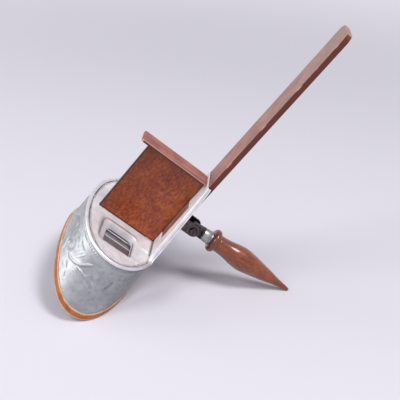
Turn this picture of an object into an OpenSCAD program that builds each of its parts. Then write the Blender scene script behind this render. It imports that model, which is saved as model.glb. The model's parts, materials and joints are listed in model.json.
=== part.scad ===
/* [Lens plate] */
// Width of the lens plate over its rolled bead
plate_w = 151; // [140:1:162]
// Height of the plate above its widest line
plate_up = 40; // [36:0.5:44]
// Depth of the plate's oval below its widest line, before it is cut at the rail
plate_down = 46.5; // [44:0.5:49]
// Depth of the plate's straight lower edge below the rail's top
plate_cut = 4.5; // [3.5:0.1:5.5]
// Height of the widest line above the rail
plate_mid = 37; // [35:0.5:39]
// Thickness of the aluminium sheet
sheet_t = 0.9; // [0.7:0.1:1.2]
// Diameter of the rolled bead round the plate
bead_d = 3.8; // [3.2:0.1:4.6]

/* [Eye openings] */
// Distance between the centres of the two openings
eye_gap = 64.5; // [61:0.5:68]
// Width of one opening
open_w = 35.5; // [33:0.5:38]
// Height of one opening
open_h = 37.5; // [34:0.5:41]
// Height of the openings' centre above the rail
open_z = 36; // [34:0.5:38]
// Corner radius of an opening
open_r = 6; // [4:0.5:8]
// Width of the window at the back of an opening
window_w = 33; // [31:0.5:34]
// Height of the window at the back of an opening
window_h = 28.8; // [27:0.1:33]
// Height of the windows' centre above the rail
window_z = 33; // [32:0.1:35]
// Depth of the drawn collar behind an opening
collar_d = 7.8; // [6:0.1:10]

/* [Lenses] */
// How far the glass is wider than the opening on each side
lens_lap = 0.8; // [0.6:0.1:0.9]
// Distance between the two optical axes
lens_axis_gap = 85; // [76:1:90]
// Radius of the curved side of the glass
lens_radius = 100; // [90:1:130]
// Thickness of the glass on its optical axis
lens_t = 7.5; // [7:0.1:9]
// Wall of the frame that holds the glass
frame_t = 0.7; // [0.5:0.1:1]

/* [Hood] */
// Width of the hood's open rim across the temples
rim_w = 175; // [168:1:180]
// Height of the rim above its widest line
rim_up = 43; // [41:0.5:46]
// Depth of the rim below its widest line
rim_down = 39; // [37:0.5:41]
// Height of the rim's widest line above the rail
rim_mid = 34; // [32:0.5:36]
// How far the brow reaches behind the plate
brow_d = 42; // [36:1:50]
// How far the temples reach behind the plate
temple_d = 61.5; // [56:0.5:68]
// How far the cheeks reach behind the plate
cheek_d = 33; // [28:1:40]
// Depth of the nose notch
nose_d = 14; // [8:1:18]
// Half width of the nose notch
nose_w = 17; // [12:1:22]
// Thickness of the hood's wall
wall_t = 0.8; // [0.6:0.1:1]
// Width of the cloth binding on each side of the rim
bind_w = 6; // [4:0.5:7]
// Thickness of the cloth binding
bind_t = 1.2; // [0.9:0.1:1.6]

/* [Rail] */
// Reach of the rail in front of the plate
rail_reach = 273; // [240:1:300]
// Width of the rail
rail_w = 33; // [31:0.5:35]
// Thickness of the rail
rail_t = 5.6; // [5.2:0.1:7]
// Radius of the rail's long edges
rail_edge = 1.5; // [0.8:0.1:2]
// Radius of the corners at the rail's tip
rail_corner = 4; // [2:0.5:8]

/* [Rail bracket] */
// Length of the bracket in front of the plate
bracket_l = 89; // [87:0.5:94]
// Width of the bracket where it leaves the plate
bracket_w = 64; // [58:1:70]
// Depth of the turned-down skirt at the plate
skirt_rear = 5.8; // [4:0.1:7]
// Depth of the turned-down skirt at the bracket's front
skirt_front = 4; // [3:0.1:5]
// Radius of the bend from the bracket up to the plate
bend_r = 2; // [1.5:0.1:4]
// Height of the flange that is soldered to the plate
flange_h = 10; // [7:0.5:12]
// Radius of the flare where the bracket's sides meet the plate
flare_r = 8; // [6:0.5:10]

/* [Septum] */
// Gap between the end strip and the bracket's front lip
strip_gap = 1.9; // [0.6:0.1:5]
// Height of the septum board
septum_h = 64.5; // [58:0.5:68]
// Thickness of the septum board
septum_t = 4.2; // [3.6:0.1:5]
// Width of the end strip
strip_w = 22; // [18:0.5:26]
// Thickness of the end strip
strip_t = 2.2; // [1.8:0.1:3.5]
// Height of the end strip above the septum
strip_rise = 9.5; // [4:0.5:14]

/* [Handle] */
// Distance of the hinge in front of the plate
pivot_x = 38.5; // [36:0.5:46]
// Distance of the hinge pin below the rail
pivot_drop = 14.6; // [12.6:0.1:15.6]
// Forward lean of the unfolded handle
lean = 2.2; // [0:0.1:4]
// Length of the handle from the hinge pin to its tip
handle_l = 116.2; // [110:0.1:124]
// Largest diameter of the grip
grip_d = 23.4; // [20:0.1:24]
// Diameter of the grip's neck
neck_d = 17.2; // [15.5:0.1:19]
// Diameter of the grip's collar
ring_d = 23.8; // [20:0.1:24]
// Diameter of the ferrule at the collar
ferrule_d = 13.8; // [13:0.1:14.6]
// Length of the ferrule
ferrule_l = 9.5; // [8:0.5:11]
// Diameter of the hinge pin
pin_d = 4; // [3:0.1:5]
// Gap between the two ears of the hinge
ear_gap = 12; // [11:0.5:15]
// Thickness of one ear
ear_t = 1.8; // [1.4:0.1:2.2]
// Width of one ear
ear_w = 12.5; // [11:0.5:15]
// Thickness of the tongue between the ears
tongue_t = 5; // [4:0.5:6]

/* [Hidden] */

$fn = 48;
slip = 0.05;          // clearance of a piece that slides or turns on another
seat = 0.1;           // clearance of a piece that drops into a pocket

aluminium = [0.80, 0.80, 0.80];
pale_sheet = [0.88, 0.86, 0.88];
cloth = [0.72, 0.42, 0.22];
glass = [0.25, 0.27, 0.30];
mahogany = [0.48, 0.20, 0.12];
turned_wood = [0.55, 0.26, 0.14];
dark_steel = [0.20, 0.18, 0.18];
nickel = [0.74, 0.77, 0.74];

// The oval forms: x runs forward from the plate's face, y to the wearer's left and
// z up from the rail's top, until place() tips the viewer onto its rim and handle.
steps = 72;
plate_square_up = 2.05;
plate_square_down = 2;
rim_square_up = 2.1;
rim_square_down = 2.3;
hood_rows = 6;
wall_flare = 1.25;

function sign_of(v) = v < 0 ? -1 : 1;
function unit(v) = v / norm(v);
function angle_at(i) = 360 * i / steps;

// A point of a squared oval at angle a, as [y, z]
function oval(a, half, up, down, mid, square_up, square_down) =
    let (c = cos(a), s = sin(a), n = s > 0 ? square_up : square_down)
    [half * sign_of(c) * pow(abs(c), 2 / n),
     mid + (s > 0 ? up : down) * sign_of(s) * pow(abs(s), 2 / n)];

// Centre line of the bead, its outward normal, and a point off it
bead_r = bead_d / 2;
bead_flat = bead_r * cos(22.5);
bead_x = -sheet_t / 2;
bead_front = bead_x + bead_r + slip;
function seam(a) =
    let (p = oval(a, plate_w / 2 - bead_r, plate_up - bead_r, plate_down - bead_r,
        plate_mid, plate_square_up, plate_square_down))
    [p[0], max(p[1], bead_r - plate_cut)];
function seam_normal(a) = let (d = unit(seam(a + 1) - seam(a - 1))) [d[1], -d[0]];
function off_seam(a, by) = seam(a) + by * seam_normal(a);

// The rim follows brow, temples and cheeks, with a notch for the nose
function rim_depth(y, below) =
    let (middle = below > 0 ? cheek_d : brow_d, side = pow(y / (rim_w / 2), 2))
    middle + (temple_d - middle) * side
    - nose_d * max(0, min(1, 1.6 * below)) * exp(-pow(y / nose_w, 2));
function rim(a) =
    let (p = oval(a, rim_w / 2, rim_up, rim_down, rim_mid, rim_square_up, rim_square_down))
    [-rim_depth(p[0], -sin(a)), p[0], p[1]];

wall_x = bead_x - bead_flat;
function wall_start(a) = let (p = seam(a)) [wall_x, p[0], p[1]];
function rim_along(a) =
    let (d = rim(a) - wall_start(a)) unit([d[0], wall_flare * d[1], wall_flare * d[2]]);
function rim_out(a) = unit(cross(rim_along(a), rim(a + 1) - rim(a - 1)));
function wall_end(a) = rim(a) - (bind_w + 0.5) * rim_along(a);
// Middle of the wall between the bead, t = 0, and the binding, t = 1
function wall(a, t) =
    let (p = wall_start(a), d = wall_end(a) - p, f = pow(max(t, 0), wall_flare))
    p + [d[0] * t, d[1] * f, d[2] * f];
function wall_out(a, t) =
    t == 0 ? let (n = seam_normal(a)) [0, n[0], n[1]]
    : t == 1 ? rim_out(a)
    : unit(cross(wall(a, t + 0.02) - wall(a, t - 0.02), wall(a + 1, t) - wall(a - 1, t)));
function wall_row(a, side) = [for (k = [0:hood_rows])
    wall(a, k / hood_rows) + side * wall_t / 2 * wall_out(a, k / hood_rows)];
function rim_edge(a, side) = rim(a) + side * wall_t / 2 * rim_out(a);
function reversed(list) = [for (i = [len(list) - 1:-1:0]) list[i]];
function hood_section(a) = concat(wall_row(a, 1), [rim_edge(a, 1), rim_edge(a, -1)],
    reversed(wall_row(a, -1)));

// The binding is a strip folded over the rim: [along the wall, out of the wall]
bind_in = wall_t / 2 + slip;
bind_out = bind_in + bind_t;
bind_fold = [[-bind_w, bind_out - 0.3], [-bind_w + 1, bind_out], [0.2, bind_out],
    [bind_t, bind_in], [bind_t, -bind_in], [0.2, -bind_out], [-bind_w + 1, -bind_out],
    [-bind_w, 0.3 - bind_out], [-bind_w, -bind_in], [slip, -bind_in], [slip, bind_in],
    [-bind_w, bind_in]];
function binding_section(a) = [for (p = bind_fold)
    rim(a) + p[0] * rim_along(a) + p[1] * rim_out(a)];

function bead_section(a) = [for (k = [0:7])
    let (b = 22.5 + 45 * k, p = off_seam(a, bead_r * sin(b))) [bead_x + bead_r * cos(b), p[0], p[1]]];

// A closed section carried once round the oval
module ring_sweep(sections) {
    n = len(sections);
    m = len(sections[0]);
    faces = [for (i = [0:n - 1], j = [0:m - 1])
        let (i2 = (i + 1) % n, j2 = (j + 1) % m)
        each [[i * m + j, i2 * m + j, i2 * m + j2], [i * m + j, i2 * m + j2, i * m + j2]]];
    polyhedron(points = [for (s = sections) each s], faces = faces, convexity = 8);
}

// The handle's line, and the tilt at which its tip and the rim rest on one plane
rail_half = rail_w / 2;
pivot_z = -rail_t - pivot_drop;
tip_r = 1.7;
tip_x = pivot_x + (handle_l - tip_r) * sin(lean);
tip_z = pivot_z - (handle_l - tip_r) * cos(lean);
rim_points = [for (i = [0:steps - 1]) each binding_section(angle_at(i))];
function rest_tilt(p) = let (dx = tip_x - p[0], dz = p[2] - tip_z)
    atan2(dz, dx) + asin(tip_r / norm([dx, dz]));
tilt = min([for (p = rim_points) rest_tilt(p)]);
floor_z = sin(tilt) * tip_x + cos(tilt) * tip_z - tip_r;
back_x = min([for (p = rim_points) cos(tilt) * p[0] - sin(tilt) * p[2]]);
front_x = cos(tilt) * rail_reach + sin(tilt) * rail_t;

module place() {
    translate([-(back_x + front_x) / 2, 0, -floor_z]) rotate([0, -tilt, 0]) children();
}

// Extrusions along the viewer's own axes, from 2D shapes in [y, z] and [x, z]
module along_x(from, length) {
    translate([from, 0, 0]) rotate([90, 0, 90]) linear_extrude(length) children();
}
module along_y(from, length) {
    translate([0, from + length, 0]) rotate([90, 0, 0]) linear_extrude(length) children();
}
module rounded(w, h, r) {
    square([w - 2 * r, h], center = true);
    square([w, h - 2 * r], center = true);
    for (i = [-1, 1], j = [-1, 1]) translate([i * (w / 2 - r), j * (h / 2 - r)]) circle(r);
}

module hood_shell() {
    color(aluminium) place() ring_sweep([for (i = [0:steps - 1]) hood_section(angle_at(i))]);
}
module hood_binding() {
    color(cloth) place() ring_sweep([for (i = [0:steps - 1]) binding_section(angle_at(i))]);
}
module plate_bead() {
    color(aluminium) place() ring_sweep([for (i = [0:steps - 1]) bead_section(angle_at(i))]);
}

// Lens plate: a flat sheet, drawn back round each eye to a smaller window
module eye(side, grow) {
    translate([side * eye_gap / 2, open_z])
        rounded(open_w + 2 * grow, open_h + 2 * grow, open_r + grow);
}
module window(side, grow) {
    translate([side * eye_gap / 2, window_z])
        rounded(window_w + 2 * grow, window_h + 2 * grow, window_r + grow);
}
window_r = open_r - 1;
module lens_plate() {
    color(pale_sheet) place() difference() {
        union() {
            along_x(-sheet_t, sheet_t)
                polygon([for (i = [0:steps - 1]) off_seam(angle_at(i), -bead_flat)]);
            for (side = [-1, 1]) hull() {
                along_x(-sheet_t, sheet_t) eye(side, sheet_t);
                along_x(-collar_d, sheet_t) window(side, sheet_t);
            }
        }
        for (side = [-1, 1]) hull() {
            along_x(0, 1) eye(side, 0);
            along_x(-collar_d - 1, 1) window(side, 0);
        }
    }
}

// A lens is flat in front and curved behind, with its axis outside the eye's
module lens(side) {
    color(glass) place() intersection() {
        along_x(-collar_d - lens_t, lens_t) eye(side, lens_lap);
        translate([lens_radius - collar_d - lens_t, side * lens_axis_gap / 2, open_z])
            sphere(lens_radius, $fn = 360);
    }
}
frame_in = sheet_t + seat;
frame_end = collar_d + lens_t + 0.3;
module lens_frame(side) {
    color(aluminium) place() difference() {
        along_x(-frame_end - frame_t, frame_end + frame_t - sheet_t) eye(side, frame_in + frame_t);
        along_x(-frame_end, frame_end) eye(side, frame_in);
        along_x(-frame_end - frame_t - 1, frame_t + 2) eye(side, -1);
    }
}

// Rail bracket: a sheet that narrows from the plate to the rail, with a skirt
bracket_front = rail_half + seat + sheet_t;
window_from = 15;
window_to = bracket_l - 30;
window_half = rail_half - 1;
lip_h = 1;
plan_steps = 12;
function bracket_half(x) =
    bracket_front + (bracket_w / 2 - bracket_front) * sqrt(max(0, 1 - x / bracket_l))
    + (x < flare_r ? flare_r - sqrt(flare_r * flare_r - pow(flare_r - x, 2)) : 0);
plan_x = concat([for (k = [0:5]) bead_front + (flare_r - bead_front) * k / 6],
    [for (k = [0:plan_steps]) let (u = 1 - k / plan_steps) bracket_l - (bracket_l - flare_r) * u * u]);
module plan(inset) {
    side = [for (x = plan_x) [x, bracket_half(x) - inset]];
    polygon(concat(side, [for (p = reversed(side)) [p[0], -p[1]]]));
}
module skirt() {
    intersection() {
        translate([0, 0, -2 * skirt_rear]) linear_extrude(2 * skirt_rear + sheet_t) difference() {
            plan(0);
            plan(sheet_t);
        }
        along_y(-bracket_w, 2 * bracket_w) polygon([[0, sheet_t], [0, sheet_t - skirt_rear],
            [bracket_l + 1, sheet_t - skirt_front], [bracket_l + 1, sheet_t]]);
    }
}
// The rear end bends up against the plate on both sides of the septum
flange_half = bracket_w / 2 - 4;
flange_slant = 4;
module bracket_flange() {
    difference() {
        union() {
            along_y(-flange_half, 2 * flange_half) intersection() {
                square(bend_r);
                translate([bend_r, bend_r]) difference() {
                    circle(bend_r);
                    circle(bend_r - sheet_t);
                }
            }
            along_x(0, sheet_t) polygon([[-flange_half, bend_r - slip], [flange_half, bend_r - slip],
                [flange_half - flange_slant, flange_h], [flange_slant - flange_half, flange_h]]);
        }
        along_x(-1, bend_r + 1) square([septum_t + 2 * seat, 4 * flange_h], center = true);
    }
}
module rail_bracket() {
    color(pale_sheet) place() {
        difference() {
            union() {
                linear_extrude(sheet_t) difference() {
                    plan(0);
                    translate([0, -flange_half]) square([bend_r, 2 * flange_half]);
                }
                skirt();
                translate([bracket_l - sheet_t, -rail_half, sheet_t]) cube([sheet_t, rail_w, lip_h]);
            }
            translate([window_from, -window_half, -1])
                cube([window_to - window_from, 2 * window_half, 3]);
            for (x = screw_x) translate([x, 0, -1]) cylinder(d = screw_d + 2 * slip, h = 3);
        }
        bracket_flange();
    }
}

// Septum: a board and a T-shaped end strip, screwed down through rail and bracket
septum_top = sheet_t + septum_h;
septum_l = bracket_l - sheet_t - strip_t - strip_gap;
groove_d = 0.9;
strip_corner = 2.5;
screw_d = 2.6;
screw_head_d = 5.4;
screw_x = [window_from - 6, window_to + 12];
screw_up = 14;
module septum_board() {
    color(mahogany) place() difference() {
        along_x(slip, septum_l + groove_d - 2 * slip)
            translate([0, sheet_t + septum_h / 2]) rounded(septum_t, septum_h, 0.8);
        for (x = screw_x) translate([x, 0, 0]) cylinder(d = screw_d + 2 * slip, h = screw_up + 1);
    }
}
module septum_end_strip() {
    color(mahogany) place() difference() {
        along_x(septum_l, strip_t) {
            translate([0, sheet_t + (septum_h + strip_rise) / 2])
                rounded(strip_w, septum_h + strip_rise, strip_corner);
        }
        translate([septum_l - 1, -septum_t / 2 - slip, 0])
            cube([groove_d + 1, septum_t + 2 * slip, septum_top + slip]);
    }
}
module septum_screws() {
    color(nickel) place() for (x = screw_x) translate([x, 0, -rail_t]) {
        cylinder(d1 = screw_head_d, d2 = screw_d, h = (screw_head_d - screw_d) / 2);
        cylinder(d = screw_d, h = rail_t + screw_up);
    }
}

// Rail: a flat bar with eased edges and a rounded tip
module rail() {
    color(mahogany) place() difference() {
        intersection() {
            along_x(bead_front, rail_reach - bead_front) translate([0, -rail_t / 2])
                rounded(rail_w, rail_t, rail_edge);
            translate([0, 0, -rail_t - 1]) linear_extrude(rail_t + 2) rail_plan();
        }
        for (x = screw_x) translate([x, 0, -rail_t]) {
            translate([0, 0, -0.01]) cylinder(d1 = screw_head_d + 2 * slip + 0.02,
                d2 = screw_d + 2 * slip, h = (screw_head_d - screw_d) / 2 + 0.01);
            cylinder(d = screw_d + 2 * slip, h = rail_t + 1);
        }
        for (x = hinge_screw_x) translate([x, 0, -rail_t - 1])
            cylinder(d = screw_d + 2 * slip, h = hinge_screw_in + 1 + slip);
    }
}
module rail_plan() {
    length = rail_reach - bead_front;
    translate([bead_front + length / 2, 0]) rounded(length, rail_w, rail_corner);
    translate([bead_front, -rail_half]) square([2 * rail_corner, rail_w]);
}

// Hinge: a plate with two ears under the rail, and the pin through them
plate_t = 1.6;
base_l = 2 * ear_w + 1;
base_w = ear_gap + 2 * ear_t + 3;
hinge_screw_x = [pivot_x - base_l / 2 + 3.2, pivot_x + base_l / 2 - 3.2];
hinge_screw_in = 5;
ear_out = ear_gap / 2 + ear_t;
module ear_shape() {
    translate([pivot_x, pivot_z]) circle(d = ear_w);
    translate([pivot_x - ear_w / 2, pivot_z]) square([ear_w, pivot_drop - plate_t / 2]);
}
module hinge_bracket() {
    color(dark_steel) place() difference() {
        union() {
            translate([pivot_x, 0, -rail_t - plate_t]) linear_extrude(plate_t)
                rounded(base_l, base_w, 3);
            for (side = [-1, 1]) along_y(side > 0 ? ear_gap / 2 : -ear_out, ear_t) ear_shape();
        }
        along_y(-ear_out - 1, 2 * ear_out + 2) translate([pivot_x, pivot_z])
            circle(d = pin_d + 2 * slip);
        for (x = hinge_screw_x) translate([x, 0, -rail_t - plate_t - 1])
            cylinder(d = screw_d + 2 * slip, h = plate_t + 2);
    }
}
module hinge_screws() {
    color(nickel) place() for (x = hinge_screw_x) translate([x, 0, -rail_t - plate_t]) {
        cylinder(d = screw_d, h = plate_t + hinge_screw_in);
        difference() {
            translate([0, 0, -1.1]) cylinder(d1 = 3.2, d2 = 4.6, h = 1.1);
            translate([-3, -0.35, -1.2]) cube([6, 0.7, 0.6]);
        }
    }
}
pin_head_d = 2 * pin_d;
pin_head_t = 2.2;
nut_t = 2.8;
nut_d = 1.9 * pin_d;
module hinge_pin() {
    color(nickel) place() difference() {
        union() {
            along_y(-ear_out, 2 * ear_out + nut_t + 0.6) translate([pivot_x, pivot_z]) circle(d = pin_d);
            translate([pivot_x, -ear_out, pivot_z]) rotate([90, 0, 0])
                cylinder(d1 = pin_head_d, d2 = pin_head_d - 1.6, h = pin_head_t);
        }
        translate([pivot_x - pin_d, -ear_out - pin_head_t - 0.1, pivot_z - 0.4])
            cube([2 * pin_d, 0.9, 0.8]);
    }
}
module hinge_nut() {
    color(nickel) place() along_y(ear_out, nut_t) translate([pivot_x, pivot_z]) difference() {
        circle(d = nut_d, $fn = 6);
        circle(d = pin_d + 2 * slip);
    }
}
spacer_l = (ear_gap - tongue_t) / 2 - slip;
module hinge_spacers() {
    color(dark_steel) place() for (side = [-1, 1])
        along_y(side > 0 ? ear_gap / 2 - spacer_l : -ear_gap / 2, spacer_l)
            translate([pivot_x, pivot_z]) difference() {
                circle(d = 2.1 * pin_d);
                circle(d = pin_d + 2 * slip);
            }
}

// Handle: built down its own axis from the hinge pin
module on_handle() {
    place() translate([pivot_x, 0, pivot_z]) rotate([0, -lean, 0]) children();
}
knuckle_r = 1.35 * pin_d;
ferrule_from = 10.7;
ferrule_t = 0.8;
ferrule_top_d = ferrule_d - 1.1;
ferrule_to = ferrule_from + ferrule_l;
tang_d = 4.4;
tang_l = 24;
shoulder = 0.45 * ferrule_top_d;
module handle_tongue() {
    color(dark_steel) on_handle() difference() {
        union() {
            along_y(-tongue_t / 2, tongue_t) {
                circle(knuckle_r);
                polygon([[-knuckle_r * 0.97, -1], [knuckle_r * 0.97, -1],
                    [shoulder, 1 - ferrule_from], [shoulder, -ferrule_from],
                    [-shoulder, -ferrule_from], [-shoulder, 1 - ferrule_from]]);
            }
            translate([0, 0, -ferrule_from]) cylinder(d = ferrule_top_d, h = 1.4);
            translate([0, 0, -ferrule_from - tang_l]) cylinder(d = tang_d, h = tang_l + 0.5);
        }
        along_y(-tongue_t, 2 * tongue_t) circle(d = pin_d + 2 * slip);
        pin_bore(2 * slip);
    }
}
module handle_ferrule() {
    color(nickel) on_handle() difference() {
        rotate_extrude() polygon([
            [tang_d / 2 + slip, -ferrule_from], [ferrule_top_d / 2, -ferrule_from],
            [ferrule_d / 2, -ferrule_to], [ferrule_d / 2 - ferrule_t, -ferrule_to],
            [ferrule_top_d / 2 - ferrule_t, -ferrule_from - ferrule_t],
            [tang_d / 2 + slip, -ferrule_from - ferrule_t]]);
        pin_bore(2 * slip);
    }
}
// A small pin runs across the handle, through ferrule, wood and tang
ferrule_pin_d = 1.5;
ferrule_pin_s = ferrule_from + 0.6 * ferrule_l;
module pin_bore(extra) {
    translate([0, 0, -ferrule_pin_s]) rotate([90, 0, 0])
        cylinder(d = ferrule_pin_d + extra, h = 2 * ferrule_d, center = true, $fn = 24);
}
module ferrule_pin() {
    color(nickel) on_handle() intersection() {
        pin_bore(0);
        cylinder(d = ferrule_top_d + 0.7, h = 4 * ferrule_d, center = true);
    }
}

// Grip: [distance from the pin, radius] at its stations, joined by a smooth curve
ring_r = 3.9;
ring_s = ferrule_to + ring_r - 0.1;
grip_stations = [[ring_s + 3.6, neck_d / 2 + 0.2], [ring_s + 8, neck_d / 2],
    [0.35 * handle_l, neck_d / 2 + 0.8], [0.43 * handle_l, grip_d / 2 - 0.6],
    [0.51 * handle_l, grip_d / 2], [0.6 * handle_l, grip_d / 2 - 1.4],
    [0.69 * handle_l, grip_d / 2 - 3.4], [0.78 * handle_l, grip_d / 2 - 5.4],
    [0.86 * handle_l, grip_d / 2 - 7.5], [0.94 * handle_l, grip_d / 2 - 9],
    [handle_l - tip_r, tip_r]];
function blend4(p, q, r, s, t) = 0.5 * (2 * q + (r - p) * t + (2 * p - 5 * q + 4 * r - s) * t * t
    + (3 * q - p - 3 * r + s) * t * t * t);
function smooth(list, cuts) = let (n = len(list)) [for (i = [0:n - 2], k = [0:cuts - 1])
    blend4(list[max(i - 1, 0)], list[i], list[i + 1], list[min(i + 2, n - 1)], k / cuts)];
module grip_half() {
    belly = concat(smooth(grip_stations, 3), [grip_stations[len(grip_stations) - 1]]);
    polygon(concat([[0, -ring_s], [neck_d / 2, -ring_s]], [for (p = belly) [p[1], -p[0]]],
        [[0, tip_r - handle_l]]));
    intersection() {
        translate([ring_d / 2 - ring_r, -ring_s]) circle(ring_r);
        translate([0, -2 * handle_l]) square([ring_d, 3 * handle_l]);
    }
    translate([0, -ring_s - 1]) square([ring_d / 2 - ring_r, ring_s + 1 - ferrule_to]);
    intersection() {
        translate([0, tip_r - handle_l]) circle(tip_r);
        translate([0, -handle_l]) square([tip_r, 2 * tip_r]);
    }
}
module handle_grip() {
    color(turned_wood) on_handle() difference() {
        union() {
            rotate_extrude($fn = 64) grip_half();
            rotate_extrude() polygon([[0, -ferrule_from - ferrule_t - slip],
                [ferrule_top_d / 2 - ferrule_t - seat, -ferrule_from - ferrule_t - slip],
                [ferrule_d / 2 - ferrule_t - seat, -ferrule_to], [ferrule_d / 2 - ferrule_t - seat,
                -ferrule_to - 1], [0, -ferrule_to - 1]]);
        }
        translate([0, 0, -ferrule_from - tang_l - slip])
            cylinder(d = tang_d + 2 * slip, h = tang_l + 1);
        pin_bore(2 * slip);
    }
}

hood_shell();
hood_binding();
plate_bead();
lens_plate();
lens(-1);  // lens_right
lens(1);  // lens_left
lens_frame(-1);  // lens_frame_right
lens_frame(1);  // lens_frame_left
rail_bracket();
septum_board();
septum_end_strip();
septum_screws();
rail();
hinge_bracket();
hinge_screws();
hinge_pin();
hinge_nut();
hinge_spacers();
handle_tongue();
handle_ferrule();
ferrule_pin();
handle_grip();
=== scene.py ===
"""A hand-held stereoscope: an embossed hood and lens plate on a wooden rail, with a septum between
the lenses and a turned handle that folds.

Shapes are worked out in the viewer's own axes, in millimetres: x runs forward from the lens plate's
face along the rail, y to the wearer's left and z up from the rail's top. in_row() puts them in the row.
"""
import json
from math import atan2, cos, pi, radians, sin

import bmesh
import bpy
import numpy as np
from mathutils import Matrix, Vector


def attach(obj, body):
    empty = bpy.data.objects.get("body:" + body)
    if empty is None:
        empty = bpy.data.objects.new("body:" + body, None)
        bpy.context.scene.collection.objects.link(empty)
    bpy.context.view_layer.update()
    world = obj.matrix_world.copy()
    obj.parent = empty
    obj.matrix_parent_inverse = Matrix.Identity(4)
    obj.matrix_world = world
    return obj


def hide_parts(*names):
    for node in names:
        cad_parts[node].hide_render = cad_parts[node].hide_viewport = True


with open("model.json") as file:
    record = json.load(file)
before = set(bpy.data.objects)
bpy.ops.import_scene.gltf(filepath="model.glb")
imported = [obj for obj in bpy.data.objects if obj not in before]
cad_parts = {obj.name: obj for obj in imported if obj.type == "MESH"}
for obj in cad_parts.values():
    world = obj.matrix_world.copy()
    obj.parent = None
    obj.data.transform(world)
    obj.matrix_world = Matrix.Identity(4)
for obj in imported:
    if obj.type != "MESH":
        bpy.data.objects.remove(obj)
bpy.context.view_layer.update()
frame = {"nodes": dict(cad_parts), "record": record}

# ---------------------------------------------------------------- the viewer's axes
MM = 0.001
RAIL_REACH, RAIL_T, RAIL_W = 273.0, 5.6, 33.0
rail_end = next(m for m in frame["record"]["mounts"] if m["name"] == "rail_end")
FORWARD = np.array(rail_end["axis"], float)
FORWARD /= np.linalg.norm(FORWARD)
LEFT = np.array([0.0, 1.0, 0.0])
UP = np.cross(FORWARD, LEFT)
ORIGIN = np.array(rail_end["pos_m"], float) - RAIL_REACH * MM * FORWARD + RAIL_T / 2 * MM * UP
TILT = atan2(FORWARD[2], FORWARD[0])


def in_row(p):
    """Millimetres along FORWARD, LEFT and UP from the rail's top at the plate, as metres in the row."""
    p = np.asarray(p, float)
    return ORIGIN + MM * (p[..., 0:1] * FORWARD + p[..., 1:2] * LEFT + p[..., 2:3] * UP)


def unit(v):
    """Vectors of length one, along the last axis."""
    return v / np.maximum(np.linalg.norm(v, axis=-1, keepdims=True), 1e-12)


# ---------------------------------------------------------------- finishes
FINISH = {}


class Value:
    """A socket that varies over a surface. Arithmetic on it adds Math nodes."""

    def __init__(self, finish, socket):
        self.finish, self.socket = finish, socket

    def math(self, operation, *terms):
        return self.finish.node("ShaderNodeMath", {"operation": operation}, dict(enumerate(terms)))

    def __add__(self, other):
        return self.math("ADD", self, other)

    def __sub__(self, other):
        return self.math("SUBTRACT", self, other)

    def __rsub__(self, other):
        return self.math("SUBTRACT", other, self)

    def __mul__(self, other):
        return self.math("MULTIPLY", self, other)

    __radd__, __rmul__ = __add__, __mul__

    def at_least(self, other):
        return self.math("MAXIMUM", self, other)

    def absolute(self):
        return self.math("ABSOLUTE", self)

    def wave(self):
        return self.math("SINE", self)


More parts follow.
